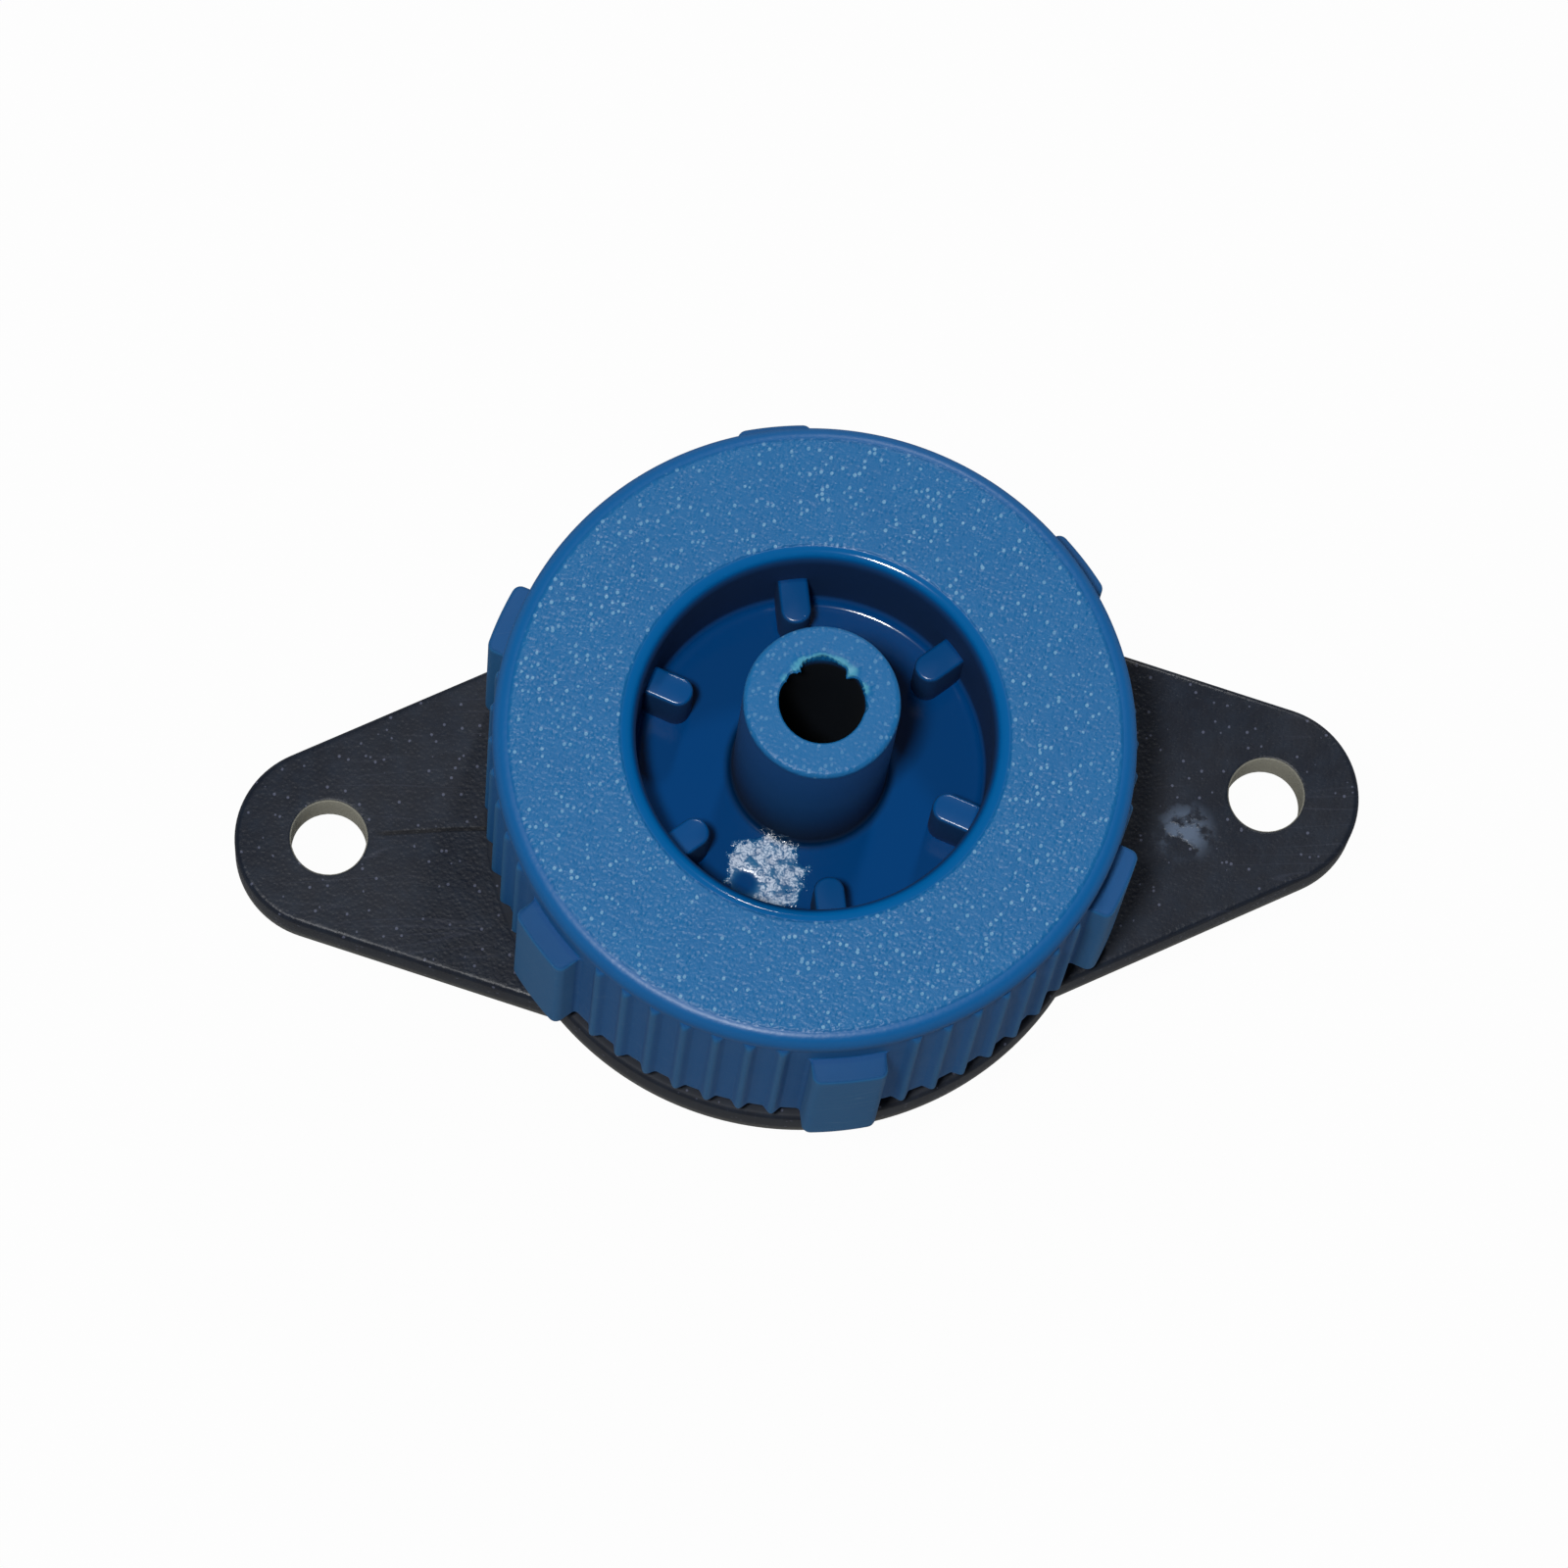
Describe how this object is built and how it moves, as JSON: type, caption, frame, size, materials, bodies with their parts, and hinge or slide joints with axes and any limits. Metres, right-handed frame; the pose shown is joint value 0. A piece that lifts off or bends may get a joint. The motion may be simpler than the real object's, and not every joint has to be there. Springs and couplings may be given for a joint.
{
  "type": "drip emitter",
  "caption": "Take-apart on-line drip emitter: ribbed screw cap with a microtube nozzle, flanged base with fixing ears and a barbed inlet.",
  "frame": {"origin": "centre of the flange's underside, where the barbed inlet leaves it", "axes": "+X along the line through the two ear holes, +Z along the emitter's axis towards the outlet"},
  "size_m": [0.03, 0.0176, 0.0205],
  "materials": {
    "base_plastic": "black polypropylene, finely grained, satin",
    "cap_plastic": "mid-blue acetal, spark-eroded face, smooth rim and glossy recess",
    "disc_plastic": "natural white polypropylene, smooth",
    "silicone": "translucent silicone, matt",
    "seal_rubber": "black nitrile rubber, satin"
  },
  "bodies": {
    "base": {"base_body": "base_plastic", "diaphragm": "silicone", "labyrinth_disc": "disc_plastic"},
    "seal": {"seal_ring": "seal_rubber"},
    "cap": {"cap": "cap_plastic"}
  },
  "joints": [
    {"name": "cap_lift", "type": "slide", "parent": "base", "child": "seal", "axis": [0, 0, 1], "range_m": [0, 0.00337]},
    {"name": "cap_turn", "type": "hinge", "parent": "seal", "child": "cap", "pos_m": [0, 0, 0.0096], "axis": [0, 0, 1], "range_deg": [0, 270]}
  ],
  "couplings": [
    {"joint": "cap_turn", "follows": "cap_lift", "rad_per_m": 1396.3}
  ]
}
